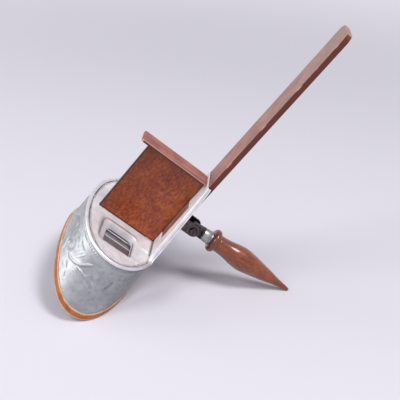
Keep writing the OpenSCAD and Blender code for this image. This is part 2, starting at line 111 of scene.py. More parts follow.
class Finish:
    """The nodes of one material, or of the world, written as expressions on Value sockets."""

    def __init__(self, name, world=None):
        self.name, self.holder = name, world or bpy.data.materials.new(name)
        self.holder.use_nodes = True
        self.tree = self.holder.node_tree
        self.tree.nodes.clear()

    def node(self, kind, settings=None, inputs=None, output=0):
        """A node of this kind, with its settings first and then its sockets' values or links."""
        made = self.tree.nodes.new(kind)
        for key, value in (settings or {}).items():
            if key == "stops":
                ramp = made.color_ramp
                while len(ramp.elements) < len(value):
                    ramp.elements.new(0.5)
                for stop, (place, colour) in zip(ramp.elements, value):
                    stop.position, stop.color = place, (*colour, 1)
            else:
                setattr(made, key, value)
        for key, value in (inputs or {}).items():
            if isinstance(value, Value):
                self.tree.links.new(value.socket, made.inputs[key])
            else:
                made.inputs[key].default_value = value
        return Value(self, made.outputs[output]) if len(made.outputs) else None

    def place(self, handle=False):
        """Object coordinates in millimetres: the viewer's axes, or from the pivot along the handle's."""
        lean, origin = (HANDLE_LEAN, (PIVOT_X, 0, PIVOT_Z)) if handle else (0, (0, 0, 0))
        angle = TILT + lean
        shift = Matrix.Rotation(angle, 3, "Y") @ (Vector(in_row(origin)) / MM)
        point = self.node("ShaderNodeTexCoord", output="Object")
        return self.node("ShaderNodeMapping", None, {"Vector": point, "Location": -shift,
            "Rotation": (0, angle, 0), "Scale": (1 / MM,) * 3})

    def mark(self):
        """The mesh's own painted-shade value at a point: how much painted shade it takes, or on the rail how
        far onto its side face it lies.
        """
        return self.node("ShaderNodeAttribute", {"attribute_name": "hollow"}, None, 2)

    def stretched(self, vector, scale):
        return self.node("ShaderNodeMapping", None, {"Vector": vector, "Scale": scale})

    def part(self, vector, axis):
        return self.node("ShaderNodeSeparateXYZ", None, {0: vector}, "XYZ".index(axis))

    def noise(self, vector, scale, detail=3.0, roughness=0.5, distortion=0.0):
        return self.node("ShaderNodeTexNoise", {"noise_dimensions": "3D"}, {"Vector": vector,
            "Scale": scale, "Detail": detail, "Roughness": roughness, "Distortion": distortion})

    def steps(self, value, low, high, to_low=0.0, to_high=1.0):
        """Zero below low and one above high, with a smooth step between."""
        return self.node("ShaderNodeMapRange", {"interpolation_type": "SMOOTHSTEP", "clamp": True},
            {"Value": value, "From Min": low, "From Max": high, "To Min": to_low, "To Max": to_high})

    def ramp(self, value, stops):
        return self.node("ShaderNodeValToRGB", {"stops": stops}, {0: value})

    def blend(self, share, first, second):
        """Colours first and second, mixed by share."""
        first, second = [c if isinstance(c, Value) else (*c, 1) for c in (first, second)]
        return self.node("ShaderNodeMix", {"data_type": "RGBA"}, {0: share, 6: first, 7: second}, 2)

    def bump(self, height, distance):
        return self.node("ShaderNodeBump", None, {"Height": height, "Distance": distance})

    def surface(self, **sockets):
        """The Principled shader with these sockets, joined to the output and kept under its name."""
        inputs = {key.replace("_", " "): (*value, 1) if isinstance(value, tuple) else value
                  for key, value in sockets.items()}
        shader = self.node("ShaderNodeBsdfPrincipled", None, inputs)
        self.node("ShaderNodeOutputMaterial", None, {"Surface": shader})
        FINISH[self.name] = self.holder


def rgb(red, green, blue):
    """A colour read on a screen, 0 to 255, as the light it stands for."""
    return tuple(((c / 255 + 0.055) / 1.055) ** 2.4 for c in (red, green, blue))


def embossed_aluminium():
    """Worn satin aluminium: cloudy oxide and fine scratches, with painted shade from the mesh's mark,
    darkest inside the hood.
    """
    f = Finish("embossed_aluminium")
    p = f.place()
    cloud = f.noise(p, 0.045, 4, 0.6)
    blotch = f.noise(f.stretched(p, (1.0, 0.5, 0.7)), 0.22, 4, 0.65, 0.5)
    fine = f.noise(p, 0.9, 3, 0.6)
    scratch = f.noise(f.stretched(p, (0.2, 1.6, 1.1)), 0.9, 5, 0.75, 0.6)
    shading = f.mark()
    tone = f.blend(f.steps(cloud, 0.35, 0.68), rgb(168, 172, 174), rgb(194, 197, 199))
    tone = f.blend(f.steps(blotch, 0.42, 0.72, 0.0, 0.6), tone, rgb(142, 142, 142))
    tone = f.blend(f.steps(fine, 0.5, 0.8, 0.0, 0.3), tone, rgb(136, 134, 132))
    # Painted shade: darker on the embossing's flanks and in its grooves, along the bead and towards the
    # bottom of the hood.
    tone = f.blend(f.steps(shading, 0.02, 0.9, 0.0, 0.8), tone, rgb(92, 88, 84))
    # Painted shade: the inside of the hood, marked above one, is painted near black.
    tone = f.blend(f.steps(shading, 1.3, 1.6), tone, rgb(58, 50, 47))
    rough = 0.28 + 0.12 * cloud + 0.14 * blotch
    height = 0.4 * scratch + 0.6 * fine
    f.surface(Base_Color=tone, Metallic=0.9, Roughness=rough, Normal=f.bump(height, 0.00012))


def pale_aluminium():
    """Satin sheet aluminium, a little warm, with soft blotches and fine pits, and painted shade in its
    creases, recesses and joins.
    """
    f = Finish("pale_aluminium")
    p = f.place()
    cloud = f.noise(p, 0.09, 4, 0.6)
    fine = f.noise(p, 1.1, 3, 0.65)
    drawn = f.noise(f.stretched(p, (0.3, 0.12, 2.2)), 1.0, 3, 0.6)
    tone = f.blend(f.steps(cloud, 0.35, 0.7), rgb(228, 223, 227), rgb(246, 244, 248))
    tone = f.blend(f.steps(fine, 0.52, 0.8, 0.0, 0.35), tone, rgb(198, 192, 196))
    tone = f.blend(f.steps(drawn, 0.55, 0.8, 0.0, 0.3), tone, rgb(188, 182, 188))
    shading = f.mark()
    # Painted shade from the mesh's mark: the plate's collar and bend, its line at the bead, and the
    # bracket's crease, groove, hem and window edges.
    tone = f.blend(f.steps(shading, 0.05, 0.9, 0.0, 0.85), tone, rgb(80, 76, 77))
    rough = 0.42 + 0.14 * cloud + 0.08 * fine
    f.surface(Base_Color=tone, Metallic=0.25, Roughness=rough, Normal=f.bump(fine, 0.00006))


def rolled_aluminium():
    """The bead's bright rolled metal, with short nicks, and painted contact shade, with dirt, on its inner
    side.
    """
    f = Finish("rolled_aluminium")
    p = f.place()
    cloud = f.noise(p, 0.12, 4, 0.6)
    nicks = f.noise(p, 1.4, 3, 0.7)
    tone = f.blend(f.steps(cloud, 0.35, 0.7), rgb(226, 226, 228), rgb(244, 244, 246))
    tone = f.blend(f.steps(nicks, 0.56, 0.8, 0.0, 0.5), tone, rgb(168, 166, 166))
    shading = f.mark()
    # Painted contact shade, with dirt, on the bead's inner side where it meets the plate.
    tone = f.blend(f.steps(shading, 0.1, 0.7, 0.0, 0.8), tone, rgb(84, 82, 82))
    f.surface(Base_Color=tone, Metallic=0.85, Roughness=0.26 + 0.14 * nicks,
        Normal=f.bump(nicks, 0.00006))


def frame_aluminium():
    """Dull bent strip that holds the glass."""
    f = Finish("frame_aluminium")
    p = f.place()
    cloud = f.noise(p, 0.2, 4, 0.65)
    tone = f.blend(f.steps(cloud, 0.3, 0.7), rgb(150, 148, 146), rgb(196, 194, 192))
    f.surface(Base_Color=tone, Metallic=1.0, Roughness=0.38 + 0.2 * cloud,
        Normal=f.bump(cloud, 0.0001))


def painted_reflection_line():
    """Bright thin rods that stand for light reflected in the lenses: a painted reflection."""
    f = Finish("painted_reflection_line")
    p = f.place()
    cloud = f.noise(p, 0.5, 3, 0.6)
    tone = f.blend(f.steps(cloud, 0.35, 0.7), rgb(236, 230, 232), rgb(250, 246, 248))
    f.surface(Base_Color=tone, Metallic=0.2, Roughness=0.3 + 0.1 * cloud)


def lens_glass():
    """Polished crown glass, tinted grey as painted shade: it darkens the view through the lenses."""
    f = Finish("lens_glass")
    f.surface(Base_Color=(0.64, 0.61, 0.61), Roughness=0.02, IOR=1.52, Transmission_Weight=1.0)


def wood(name, dark, middle, light, along, mottle, gloss=0.32, coat=0.5, pored=1.0, handle=False,
         shade_and_tint_bands=()):
    """Varnished wood: long grain down one axis, a cloud of stain, fine mottle and dark pores. Each of the
    painted shades and tints blends towards a colour between two distances from an axis plane, or along the
    painted-shade mark."""
    f = Finish(name)
    p = f.place(handle)
    streak = f.noise(f.stretched(p, along), 1.0, 5, 0.62, 0.5)
    pores = f.noise(f.stretched(p, tuple(3.2 * a for a in along)), 1.0, 3, 0.7)
    cloud = f.noise(p, mottle, 4, 0.62, 0.3)
    fleck = f.noise(f.stretched(p, tuple(1.2 * a for a in along)), 2.0, 4, 0.7)
    stain = 0.34 * streak + 0.30 * cloud + 0.36 * fleck
    tone = f.ramp(f.steps(stain, 0.375, 0.625), [(0.0, dark), (0.5, middle), (1.0, light)])
    tone = f.blend(f.steps(pores, 0.56, 0.78, 0.0, 0.4 * pored), tone, tuple(0.5 * c for c in dark))
    # Most of these entries are painted shade or painted highlight; the rest are plain tints.
    for axis, near, far, share_near, share_far, colour in shade_and_tint_bands:
        if axis == "edge":
            place = f.mark()
        else:
            place = f.part(p, axis).absolute()
        tone = f.blend(f.steps(place, near, far, share_near, share_far), tone, colour)
    rough = gloss + 0.16 * pores
    f.surface(Base_Color=tone, Roughness=rough, Coat_Weight=coat,
        Coat_Roughness=0.15 if handle else 0.12, Specular_IOR_Level=0.3,
        Normal=f.bump(pores * 0.6 + streak * 0.4, 0.00006 * pored))


def blackened(name, low, high, rough):
    """Blackened iron, lighter in soft random patches."""
    f = Finish(name)
    p = f.place()
    cloud = f.noise(p, 0.5, 4, 0.65)
    fine = f.noise(p, 3.0, 3, 0.6)
    tone = f.blend(f.steps(cloud, 0.35, 0.7), low, high)
    f.surface(Base_Color=tone, Metallic=1.0, Roughness=rough + 0.2 * cloud,
        Normal=f.bump(fine, 0.00008))


def nickel():
    """Polished plate with faint turning marks round the handle, and painted shade at its upper end."""
    f = Finish("nickel")
    p = f.place(handle=True)
    rings = f.noise(f.stretched(p, (0.05, 0.05, 4.0)), 1.0, 3, 0.6)
    cloud = f.noise(p, 0.4, 3, 0.6)
    tone = f.blend(f.steps(cloud, 0.35, 0.7), rgb(152, 154, 149), rgb(186, 188, 183))
    shading = f.mark()
    # Painted shade: the mesh's mark darkens the ferrule's upper end face and chamfer.
    tone = f.blend(f.steps(shading, 0.1, 0.8), tone, rgb(38, 35, 35))
    f.surface(Base_Color=tone, Metallic=1.0, Roughness=0.26 + 0.12 * cloud,
        Normal=f.bump(rings, 0.00003))


def cloth_binding():
    """Woven tape: an orange band between two tan selvedges, twilled, faded and worn at the fold."""
    f = Finish("cloth_binding")
    uv = f.node("ShaderNodeTexCoord", output="UV")
    run, across = f.part(uv, "X"), f.part(uv, "Y")
    p = f.place()
    fade = f.noise(p, 0.10, 4, 0.6)
    lint = f.noise(p, 1.6, 3, 0.7)
    inwards = 0.5 - (across - 0.5).absolute() + 0.06 * (lint - 0.5)
    band = (1 - f.steps(inwards, 0.08, 0.15)).at_least(f.steps(inwards, 0.29, 0.33))
    ribs = ((run * 900 + across * 16) * (2 * pi)).wave() * 0.5 + 0.5
    threads = ((across * 26) * (2 * pi)).wave() * 0.5 + 0.5
    orange = f.blend(f.steps(fade, 0.35, 0.68), rgb(170, 90, 38), rgb(200, 120, 60))
    tan = f.blend(f.steps(fade, 0.35, 0.68), rgb(222, 182, 150), rgb(246, 218, 194))
    tone = f.blend(band, orange, tan)
    tone = f.blend(0.28 * (1 - ribs), tone, rgb(120, 62, 30))
    tone = f.blend(f.steps(lint, 0.5, 0.78, 0.0, 0.5), tone, rgb(150, 80, 42))
    weave = 0.6 * ribs + 0.4 * threads
    f.surface(Base_Color=tone, Roughness=0.85, Sheen_Weight=0.25, Sheen_Roughness=0.5,
        Normal=f.bump(weave + 0.5 * lint, 0.0002))


# ---------------------------------------------------------------- meshes
def grid(rows, columns, closed=False, looped=False):
    """Four-cornered faces of a grid of points numbered row by row. If asked, each row is closed, and the
    last row joined to the first."""
    i = np.arange(rows if looped else rows - 1)[:, None]
    j = np.arange(columns if closed else columns - 1)[None, :]
    i2, j2 = (i + 1) % rows * columns, (j + 1) % columns
    i = i * columns
    return np.stack([i + j, i + j2, i2 + j2, i2 + j], -1).reshape(-1, 4)


def joined(parts):
    """Several surfaces as one, each given by its points, its faces and its marks if it has any."""
    points, faces, *marks = zip(*parts)
    points = [p.reshape(-1, 3) for p in points]
    firsts = np.cumsum([0] + [len(p) for p in points[:-1]])
    faces = [f + first for f, first in zip(faces, firsts)]
    return [np.concatenate(each) for each in (points, faces, *marks)]


def capped(rings):
    """A row of rings closed at both ends, as points and faces."""
    ends = [np.broadcast_to(rings[i].mean(0), rings[i].shape) for i in (0, -1)]
    points = np.stack([ends[0], *rings, ends[1]])
    return points, grid(*points.shape[:2], closed=True)


def in_scene(name, data):
    """An object that holds this data, linked to the scene."""
    made = bpy.data.objects.new(name, data)
    bpy.context.scene.collection.objects.link(made)
    return made


def piece(name, points, faces, slot, stands_for=(), finish=None, body="viewer", weld=1e-6, facing=None,
          uv=None, hollow=None):
    """A mesh from points in the viewer's axes and an array of faces. Doubles are merged and faces made
    to point outwards, or along facing where the surface is open."""
    mesh = bpy.data.meshes.new(name)
    made = in_scene(name, mesh)
    mesh.from_pydata(in_row(points).reshape(-1, 3).tolist(), [], faces.tolist())
    if uv is not None:
        layer = mesh.uv_layers.new(name="tape")
        layer.data.foreach_set("uv", uv.astype(np.float32).ravel())
    # This attribute holds each point's share of painted shade, read by the finishes through mark().
    if hollow is not None:
        layer = mesh.attributes.new("hollow", "FLOAT", "POINT")
        layer.data.foreach_set("value", hollow.astype(np.float32).ravel())
    work = bmesh.new()
    work.from_mesh(mesh)
    if weld:
        bmesh.ops.remove_doubles(work, verts=work.verts, dist=weld)
        bmesh.ops.dissolve_degenerate(work, edges=work.edges, dist=1e-7)
    bmesh.ops.recalc_face_normals(work, faces=work.faces)
    if facing is not None and sum(f.normal.dot(Vector(facing)) * f.calc_area() for f in work.faces) < 0:
        bmesh.ops.reverse_faces(work, faces=work.faces)
    work.to_mesh(mesh)
    work.free()
    return dress(made, body, finish or slot, stands_for)


def dress(made, body, finish, stands_for):
    """Smooths a piece, gives it its finish, puts it under its body and hides the nodes it stands for."""
    mesh = made.data
    mesh.polygons.foreach_set("use_smooth", np.ones(len(mesh.polygons), bool))
    mesh.materials.clear()
    mesh.materials.append(FINISH[finish])
    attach(made, body)
    if stands_for:
        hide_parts(*stands_for)
    return made


def thicken(made, thickness):
    """Gives an open surface its wall, behind it."""
    wall = made.modifiers.new("wall", "SOLIDIFY")
    wall.thickness, wall.offset = thickness * MM, -1.0


def eased_copy(node, name, width, body, slot):
    """The node's own solid, merged, with its sharp edges eased and its flats kept flat."""
    mesh = frame["nodes"][node].data.copy()
    mesh.name = name
    made = in_scene(name, mesh)
    work = bmesh.new()
    work.from_mesh(mesh)
    bmesh.ops.remove_doubles(work, verts=work.verts, dist=2e-6)
    bmesh.ops.dissolve_limit(work, angle_limit=radians(1.0), verts=work.verts, edges=work.edges)
    bmesh.ops.recalc_face_normals(work, faces=work.faces)
    work.to_mesh(mesh)
    work.free()
    for key in [a.name for a in mesh.attributes if a.name in ("custom_normal", "sharp_face", "sharp_edge")]:
        mesh.attributes.remove(mesh.attributes[key])
    edge = made.modifiers.new("edge", "BEVEL")
    edge.width, edge.segments, edge.limit_method = width * MM, 2, "ANGLE"
    edge.angle_limit, edge.harden_normals = radians(35.0), True
    dress(made, body, slot, (node,))


# ---------------------------------------------------------------- camera, light and floor
# The camera's place, and the directions across its picture and into it.
EYE = in_row((375.23, -669.77, 174.67))
ACROSS = 0.6151 * FORWARD + 0.0718 * LEFT - 0.7852 * UP
AHEAD = -0.4072 * FORWARD + 0.8817 * LEFT - 0.2383 * UP
PALE, FLOOR_HALF = rgb(224, 221, 231), 6.0


def make_camera():
    """The camera at EYE, looking AHEAD with ACROSS squared to it."""
    lens = bpy.data.cameras.new("camera")
    lens.sensor_width, lens.lens = 36.0, 72.0
    lens.clip_start, lens.clip_end = 0.01, 20.0
    camera = in_scene("camera", lens)
    back = unit(-AHEAD)
    side = unit(ACROSS - back * (ACROSS @ back))
    turn = Matrix(np.stack([side, np.cross(back, side), back], 1).tolist()).to_4x4()
    camera.matrix_world = Matrix.Translation(EYE.tolist()) @ turn
    bpy.context.scene.camera = camera


def lamp(name, place, aim, size, power):
    """A square soft lamp at place, turned to aim."""
    light = bpy.data.lights.new(name, "AREA")
    light.shape, light.size, light.energy = "SQUARE", size, power
    made = in_scene(name, light)
    made.location = place
    made.rotation_mode = "QUATERNION"
    made.rotation_quaternion = (Vector(aim) - Vector(place)).to_track_quat("-Z", "Y")


def seen(f):
    """One where a thing is seen, straight or in a mirror or through glass, and zero where it only lights."""
    camera, glossy, through = (f.node("ShaderNodeLightPath", output=kind)
        for kind in ("Is Camera Ray", "Is Glossy Ray", "Is Transmission Ray"))
    return camera.at_least(glossy).at_least(through)


def pale_floor():
    """Matt and pale, with the shadow near the viewer, and further off a plain even tone, as the world's."""
    f = Finish("floor")
    off = f.node("ShaderNodeVectorMath", {"operation": "LENGTH"},
        {0: f.node("ShaderNodeTexCoord", output="Object")}, 1)
    near = f.node("ShaderNodeBsdfPrincipled", None, {"Base Color": (*PALE, 1), "Roughness": 0.9,
        "Specular IOR Level": 0.1})
    even = f.node("ShaderNodeEmission", None, {"Color": (*PALE, 1), "Strength": 1.0})
    both = f.node("ShaderNodeMixShader", None, {0: seen(f) * f.steps(off, 0.45, 1.5), 1: near, 2: even})
    f.node("ShaderNodeOutputMaterial", None, {"Surface": both})
    return f.holder


def make_studio():
    """A pale floor that keeps the shadow, a world that shows pale, and three soft lamps."""
    f = Finish("studio", bpy.data.worlds.new("studio"))
    bpy.context.scene.world = f.holder
    soft = f.node("ShaderNodeBackground", None, {0: (0.94, 0.95, 1.0, 1), 1: 0.3})
    pale = f.node("ShaderNodeBackground", None, {0: (*PALE, 1), 1: 1.0})
    both = f.node("ShaderNodeMixShader", None, {0: seen(f), 1: soft, 2: pale})
    f.node("ShaderNodeOutputWorld", None, {"Surface": both})
    mesh = bpy.data.meshes.new("floor")
    corners = [(FLOOR_HALF * x, FLOOR_HALF * y, 0) for x, y in ((-1, -1), (1, -1), (1, 1), (-1, 1))]
    mesh.from_pydata(corners, [], [(0, 1, 2, 3)])
    mesh.materials.append(pale_floor())
    in_scene("floor", mesh)
    target = (-0.02, 0.0, 0.12)
    lamp("key_lamp", (-1.0, -0.8, 1.5), target, 0.8, 13.5)
    lamp("window_lamp", (-1.6, 0.1, 0.6), target, 1.0, 8.5)
    lamp("top_lamp", (0.75, -0.4, 1.75), target, 0.6, 20)


# ---------------------------------------------------------------- hood
PLATE_W, PLATE_UP, PLATE_DOWN, PLATE_CUT, PLATE_MID = 151.0, 40.0, 46.5, 4.5, 37.0
SHEET_T, BEAD_D = 0.9, 3.8
BEAD_R = BEAD_D / 2
BEAD_FLAT = BEAD_R * cos(radians(22.5))
BEAD_X = -SHEET_T / 2
RIM_W, RIM_UP, RIM_DOWN, RIM_MID = 175.0, 43.0, 39.0, 34.0
BROW_D, TEMPLE_D, CHEEK_D, NOSE_D, NOSE_W = 42.0, 61.5, 33.0, 14.0, 17.0
WALL_T, BIND_W, BIND_T, SELVEDGE, FLARE = 0.8, 6.0, 1.2, 4.5, 1.25
PATTERN_FROM, PATTERN_TO = 95, 300  # angles in degrees: distance round the hood counts from the first
PEARL_GAP, PEARL_RISE, PEARL_BACK, PEARL_W, DENT = 3.1, 0.42, 2.6, 0.9, 0.10


def oval(a, half, up, down, middle, square_up, square_down):
    """A squared oval at angles a in degrees, as y and z: its width's and height's powers of cosine and
    sine, rounder below than above."""
    c, s = np.cos(np.radians(a)), np.sin(np.radians(a))
    power = 2 / np.where(s > 0, square_up, square_down)
    return (half * np.sign(c) * np.abs(c) ** power,
            middle + np.where(s > 0, up, down) * np.sign(s) * np.abs(s) ** power)


def seam(a):
    """The line of the bead: the plate's oval, cut straight at the rail and eased at the two corners by a
    smooth maximum."""
    y, z = oval(a, PLATE_W / 2 - BEAD_R, PLATE_UP - BEAD_R, PLATE_DOWN - BEAD_R, PLATE_MID, 2.05, 2.0)
    low = BEAD_R - PLATE_CUT
    return y, np.where(z > low + 6, z, low + np.logaddexp(0, (z - low) / 0.5) * 0.5)


def seam_normal(a):
    """Square to the seam, in the plate's plane and outwards."""
    y, z = np.array(seam(a + 0.5)) - np.array(seam(a - 0.5))
    return unit(np.stack([np.zeros_like(y), z, -y], -1))


def rim(a):
    """The rim: an oval whose depth grows from brow and cheeks to the temples with the square of the
    width, with a bell-shaped notch for the nose."""
    y, z = oval(a, RIM_W / 2, RIM_UP, RIM_DOWN, RIM_MID, 2.1, 2.3)
    below = -np.sin(np.radians(a))
    middle = np.where(below > 0, CHEEK_D, BROW_D)
    depth = middle + (TEMPLE_D - middle) * (y / (RIM_W / 2)) ** 2
    depth = depth - NOSE_D * np.clip(1.6 * below, 0, 1) * np.exp(-(y / NOSE_W) ** 2)
    return np.stack([-depth, y, z], -1)


def rim_frame(a):
    """The rim with its two directions: along the wall, and out of it."""
    y, z = seam(a)
    start = np.stack([np.full_like(y, BEAD_X - BEAD_FLAT), y, z], -1)
    edge = rim(a)
    along = unit((edge - start) * np.array([1, FLARE, FLARE]))
    out = unit(np.cross(along, rim(a + 1) - rim(a - 1)))
    return start, edge, along, out


def hood_middle(a, t):
    """The middle of the wall at angles a and shares t of the way from bead to rim: straight in depth,
    and flaring outwards with a power of t. The last stretch, under the binding, is straight."""
    start, edge, along, _ = rim_frame(a)
    last = (BIND_W + 0.5) * along
    wall = start + (edge - last - start) * np.minimum(t, 1.0)[..., None] ** np.array([1, FLARE, FLARE])
    return wall + np.maximum(t - 1.0, 0)[..., None] * last


def curve(knots, cuts=14):
    """A smooth line through knots: each stretch a cubic whose ends follow their neighbours."""
    k = np.asarray(knots, float)
    k = np.concatenate([2 * k[:1] - k[1:2], k, 2 * k[-1:] - k[-2:-1]])
    p, q, r, s = (k[i:len(k) - 3 + i][:, None] for i in range(4))
    t = (np.arange(cuts) / cuts)[None, :, None]
    line = 0.5 * (2 * q + (r - p) * t + (2 * p - 5 * q + 4 * r - s) * t ** 2
                  + (3 * q - p - 3 * r + s) * t ** 3)
    return np.concatenate([line.reshape(-1, k.shape[1]), k[-2:-1]])


# Lines on each side of the hood: knots in mm round the hood from its top and back from the bead, then
# the line's width and its height in mm. A line ends in a point. Grooves, below zero, come last.
SCROLLS = [
    ([(46, 27.5), (51.5, 28), (58, 26.5), (64.5, 24), (70.5, 20.5), (75.5, 15.5), (82, 10.5)], 1.15, 0.6),
    ([(42.5, 16), (48, 17.5), (49, 21), (46.5, 25), (40.5, 28), (35, 28.5), (32.5, 26),
      (36, 22.5), (41.5, 21), (42.5, 23)], 0.85, 0.5),
    ([(66.5, 25.5), (72, 25), (78.5, 25.5), (83.5, 26.5), (88, 29), (90.5, 30.5)], 0.95, 0.62),
    ([(10, 25.5), (3, 24), (0.5, 20), (11, 13), (19, 11), (22.5, 13.5), (20.5, 19.5)], 0.9, 0.6),
    ([(13, 20), (9, 18), (10.5, 15)], 0.8, 0.5),
    ([(101, 25), (102.5, 22.5), (104, 19.5), (104, 17)], 0.9, 0.6),
    ([(51.5, 24), (55.5, 18), (57.5, 14)], 0.7, 0.2),
    ([(54, 24), (59, 17.5), (62, 13)], 0.7, 0.2),
    ([(57.5, 23.5), (62.5, 18), (67, 12)], 0.7, 0.2),
    ([(53.5, 15.5), (50, 12.5), (47.5, 11.5)], 0.7, 0.3),
    ([(78.5, 25.5), (82.5, 22), (84.5, 18.5)], 0.7, 0.3),
    ([(72.5, 25.5), (77, 29), (81.5, 32)], 0.7, 0.3),
    ([(87.5, 14), (90.5, 14), (91.5, 10.5)], 0.8, 0.3),
    ([(24, 26), (28, 30), (32, 36)], 1.0, 0.4),
    ([(14, 30), (19, 33), (23, 38)], 1.0, 0.35),
    ([(2, 30), (7, 33), (14, 36)], 1.0, 0.35),
    ([(27, 10), (31, 11), (34, 10)], 1.0, 0.35),
    ([(50.5, 9.5), (56.5, 10.5), (62.5, 11)], 0.9, -0.3),
    ([(39.5, 13.5), (45, 12)], 0.9, -0.25),
    ([(47.5, 4.5), (55.5, 4.5)], 0.8, -0.2),
    ([(51, 33), (54, 35), (58, 36)], 0.9, -0.28),
    ([(59, 39.5), (62.5, 42.5)], 0.9, -0.25),
]
DOTS = [(91.5, 34, 1.1, 0.5), (40, 24.5, 0.9, 0.35), (34, 40, 1.0, 0.35), (94, 40.5, 0.9, 0.3),
        (86, 20, 0.8, 0.3), (66, 31, 0.8, 0.3)]


def embossing(round_it, back):
    """Height in mm of the pattern over the distance round the hood and back from the bead: the highest
    of the bell-shaped ridges along the scrolls, with grooves, dots and a pearled border added."""
    height = np.zeros_like(round_it)
    for knots, width, rise in SCROLLS:
        line = curve(knots)
        lo, hi = line.min(0) - 4, line.max(0) + 4
        near = (round_it > lo[0]) & (round_it < hi[0]) & (back > lo[1]) & (back < hi[1])
        at = np.stack([round_it[near], back[near]], -1)
        gap = np.linalg.norm(at[:, None] - line[None], axis=2)
        nearest = gap.argmin(1) / (len(line) - 1)
        taper = np.clip(np.minimum(nearest, 1 - nearest) * 7 + 0.35, 0, 1)
        ridge = rise * taper * np.exp(-(gap.min(1) / (width * (0.55 + 0.45 * taper))) ** 2)
        height[near] = np.maximum(height[near], ridge) if rise > 0 else height[near] + ridge
    for u, v, radius, rise in DOTS:
        height += rise * np.exp(-((round_it - u) ** 2 + (back - v) ** 2) / radius ** 2)
    pearls = 0.5 + 0.5 * np.cos(2 * pi * round_it / PEARL_GAP)
    return height + PEARL_RISE * pearls * np.exp(-((back - PEARL_BACK) / PEARL_W) ** 2)


def make_hood():
    """The hood's sheet: the middle surface moved out and in by half its thickness and by the embossing,
    closed under the binding and at the bead."""
    columns, rows = 800, 100
    a = np.arange(columns) * 360 / columns
    t = np.concatenate([np.linspace(0, 1, rows - 6), np.linspace(1, 2, 7)[1:]])
    middle = hood_middle(a[None, :], t[:, None] + 0 * a[None, :])
    down = np.gradient(middle, axis=0)
    about = np.roll(middle, -1, 1) - np.roll(middle, 1, 1)
    out = unit(np.cross(down, about))
    out = out * np.sign((out * (middle - middle.mean((0, 1)))).sum(-1).mean())
    back = np.concatenate([np.zeros((1, columns)),
        np.cumsum(np.linalg.norm(np.diff(middle, axis=0), axis=2), axis=0)])
    fine = np.linspace(PATTERN_FROM, PATTERN_TO, 3000)
    belt = hood_middle(fine, np.full_like(fine, 0.5))
    arc = np.concatenate([[0], np.cumsum(np.linalg.norm(np.diff(belt, axis=0), axis=1))])
    side = np.where(a <= 90, 180 - a, np.where(a >= 270, 540 - a, a))
    before = side - PATTERN_FROM
    round_it = np.where(before < 0, before, np.interp(side, fine, arc)) + 0 * back
    raised = embossing(round_it, back) * np.clip((1.02 - t) * 30, 0, 1)[:, None]
    dents = DENT * np.sin(round_it / 9.0 + 0.8 * np.sin(back / 7)) * np.sin(back / 8.5 + 1.3)
    lift = raised + dents * (np.clip(t * 6, 0, 1) * np.clip((1.0 - t) * 6, 0, 1))[:, None]
    outer = middle + (WALL_T / 2 + lift)[..., None] * out
    few = np.unique(np.linspace(0, rows - 1, 12).astype(int))
    inner = (middle - WALL_T / 2 * out)[few][::-1]
    # Painted shade for the hood: its embossing's flanks and grooves, a contact line along the bead, darker
    # towards the bottom, and the inside painted darkest.
    slope = np.abs(np.gradient(raised, axis=0)) + np.abs(np.gradient(raised, axis=1))
    hollow = np.clip(1.9 * slope - 0.4 * raised, 0, 0.6) + 0.9 * np.clip(-raised, 0, 0.5)
    hollow += 0.8 * np.exp(-(back / 0.9) ** 2) + 0.4 * np.clip((40 - middle[..., 2]) / 32, 0, 1)
    hollow = np.concatenate([np.clip(hollow, 0, 1), np.full(inner.shape[:2], 1.7)])
    faces = grid(rows + len(few), columns, closed=True, looped=True)
    piece("hood", np.concatenate([outer, inner]), faces, "embossed_aluminium", ("hood_shell",), weld=0,
          hollow=hollow)


def make_binding():
    """The rim's tape: a soft fold of cloth carried round the rim. Its section runs from the outer selvedge
    over the edge to the inner one and back along the inside of the cloth."""
    columns = 720
    a = np.arange(columns) * 360 / columns
    _, edge, along, out = rim_frame(a)
    inner, outer = WALL_T / 2 + 0.05, WALL_T / 2 + 0.05 + BIND_T - 0.15
    half = [(-BIND_W, inner + 0.35), (-BIND_W + 0.7, inner + 0.75), (-3.6, outer - 0.12), (-1.6, outer),
            (0.1, outer - 0.1), (0.95, 0.62)]
    fold = curve([*half, (1.18, 0.0), *[(u, -v) for u, v in half[::-1]]], 4)
    lining = [(-BIND_W, -inner), (-3, -inner), (-0.2, -inner), (0.08, 0.0), (-0.2, inner), (-3, inner),
              (-BIND_W, inner)]
    section = np.concatenate([fold, lining])
    run = np.linalg.norm(np.roll(edge, -1, 0) - edge, axis=1)
    travelled = np.concatenate([[0], np.cumsum(run)])
    s, u, v = travelled[:-1, None], section[None, :, 0], section[None, :, 1]
    ruffle = 0.16 * np.sin(s * 0.55 + np.sin(s * 0.21)) + 0.08 * np.sin(s * 1.9)
    puff = 0.07 * np.sin(s * 0.8 + u)
    u, v = u - ruffle * (u < -SELVEDGE), v + puff * np.sign(v) * (np.abs(v) > inner + 0.35)
    points = edge[:, None] + u[..., None] * along[:, None] + v[..., None] * out[:, None]
    across = np.concatenate([np.linspace(0, 1, len(fold)), np.linspace(0.98, 0.02, len(lining))])
    start, stop = travelled[:-1, None] + 0 * across, travelled[1:, None] + 0 * across
    here, there = across + 0 * start, np.roll(across, -1) + 0 * start
    uv = np.stack([start, here, start, there, stop, there, stop, here], -1).reshape(-1, 2)
    uv[:, 0] *= MM
    made = piece("rim_binding", points, grid(columns, len(section), closed=True, looped=True),
                 "cloth_binding", ("hood_binding",), weld=0, uv=uv)


